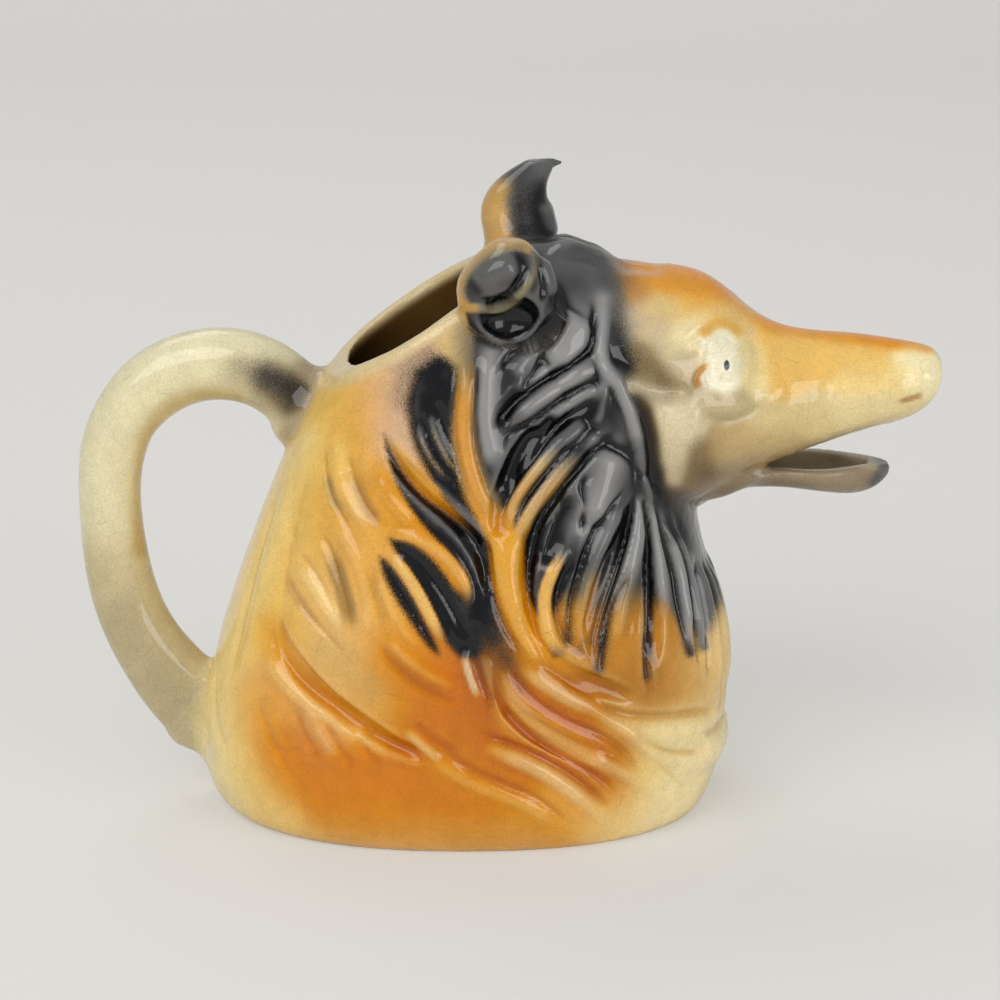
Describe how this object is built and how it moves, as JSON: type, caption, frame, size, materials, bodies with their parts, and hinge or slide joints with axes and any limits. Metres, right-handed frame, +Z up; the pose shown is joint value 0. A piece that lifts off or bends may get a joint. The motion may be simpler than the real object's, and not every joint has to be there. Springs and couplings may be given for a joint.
{
  "type": "cream jug",
  "caption": "Glazed earthenware cream jug shaped as a long-haired dog's head: filled behind the ears, held by a loop handle, poured out over an open lower jaw.",
  "frame": {"origin": "middle of the foot, on the table", "axes": "+X towards the nose, +Z up, -Y the dog's right side, with the handle on -X"},
  "size_m": [0.1486, 0.0644, 0.1098],
  "materials": {
    "painted_ruff_glaze": "clear glaze over airbrushed ochre, black and cream",
    "ivory_glaze": "clear glaze over ivory slip",
    "grey_jaw_glaze": "clear glaze over grey-brown stain",
    "black_ear_glaze": "clear glaze over black stain with an ochre edge"
  },
  "bodies": {
    "root": {"body_casting": "painted_ruff_glaze", "handle": "ivory_glaze", "handle_upper_luting": "ivory_glaze", "handle_lower_luting": "ivory_glaze", "lower_jaw": "grey_jaw_glaze", "jaw_luting": "grey_jaw_glaze", "left_ear": "black_ear_glaze", "left_ear_luting": "black_ear_glaze", "right_ear": "black_ear_glaze", "right_ear_luting": "black_ear_glaze"}
  },
  "joints": []
}
